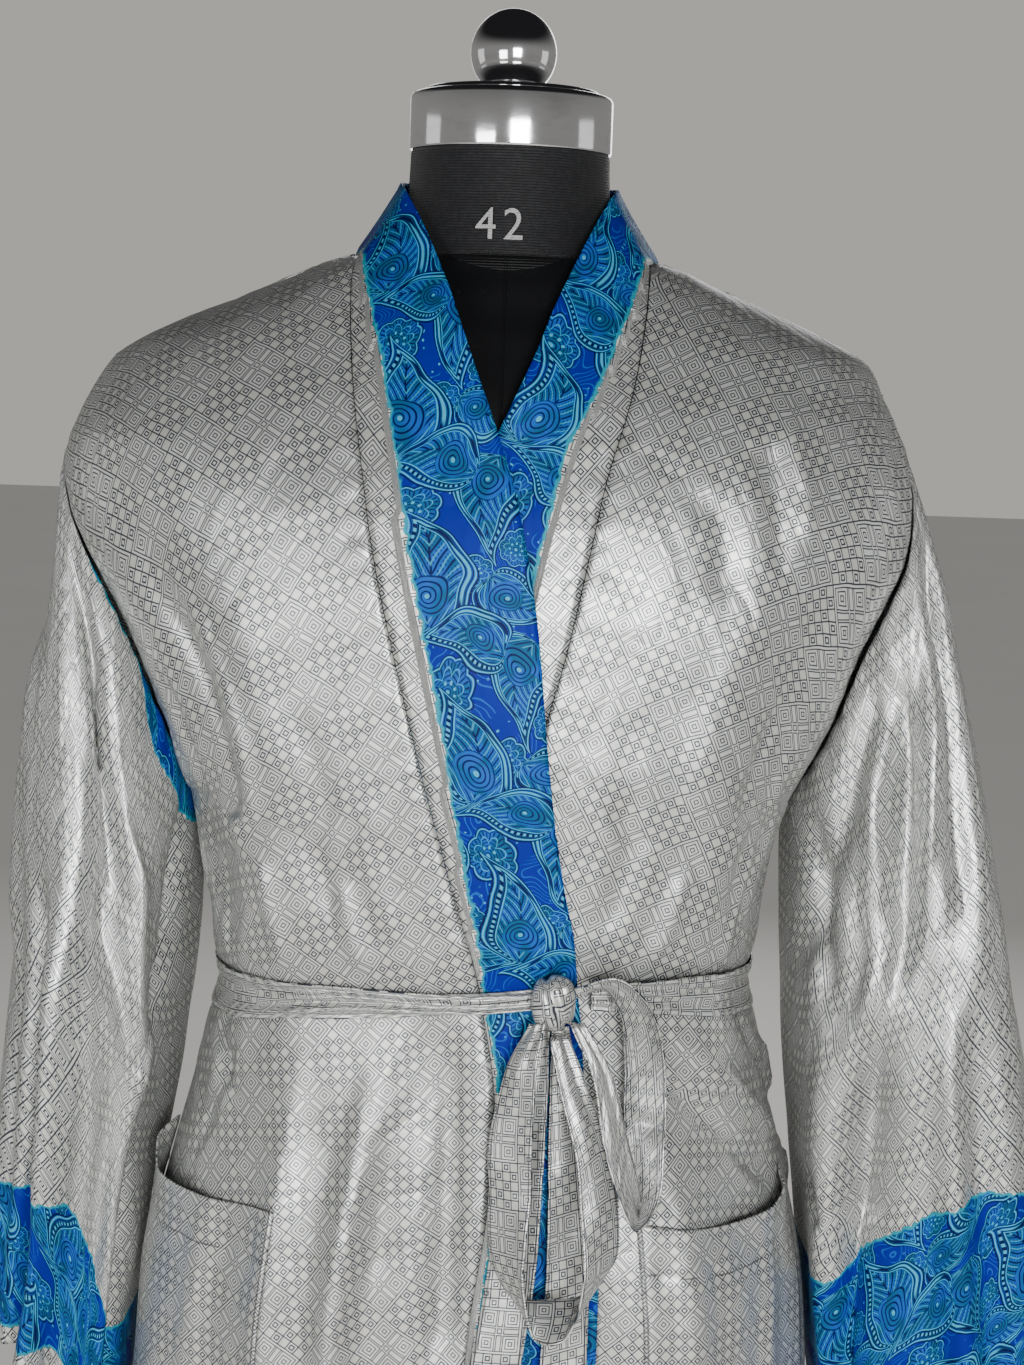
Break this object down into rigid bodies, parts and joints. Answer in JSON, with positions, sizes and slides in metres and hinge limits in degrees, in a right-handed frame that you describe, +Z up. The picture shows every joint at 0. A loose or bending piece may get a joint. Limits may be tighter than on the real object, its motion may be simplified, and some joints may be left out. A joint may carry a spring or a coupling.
{
  "type": "kimono robe on dress form",
  "caption": "Long printed silk kimono robe with blue paisley neckband and cuffs, patch pockets and a bow-tied belt, worn by a black limbless dress form on a round stand.",
  "frame": {"origin": "centre of the stand base's underside, on the floor", "axes": "+X towards the wearer's left, -Y towards the front, +Z up"},
  "size_m": [0.742, 0.3948, 1.576],
  "materials": {
    "silk_print": "satin silk with a small grey block print",
    "border_print": "satin silk with a blue and teal paisley border print",
    "form_jersey": "smooth black jersey",
    "neck_rib": "black fine-ribbed cloth",
    "chrome": "polished",
    "base_paint": "black semi-gloss"
  },
  "bodies": {
    "root": {"back_panel": "silk_print", "front_right": "silk_print", "front_left": "silk_print", "sleeve_right": "silk_print", "sleeve_left": "silk_print", "pocket_right": "silk_print", "pocket_left": "silk_print", "belt_waist": "silk_print", "belt_knot": "silk_print", "belt_loop_large": "silk_print", "belt_loop_small": "silk_print", "belt_tail_right": "silk_print", "belt_tail_left": "silk_print", "neckband_right": "border_print", "neckband_left": "border_print", "form_torso": "form_jersey", "form_neck_block": "neck_rib", "form_neck_ring": "chrome", "form_finial": "chrome", "form_pole": "chrome", "form_base": "base_paint"}
  },
  "joints": []
}
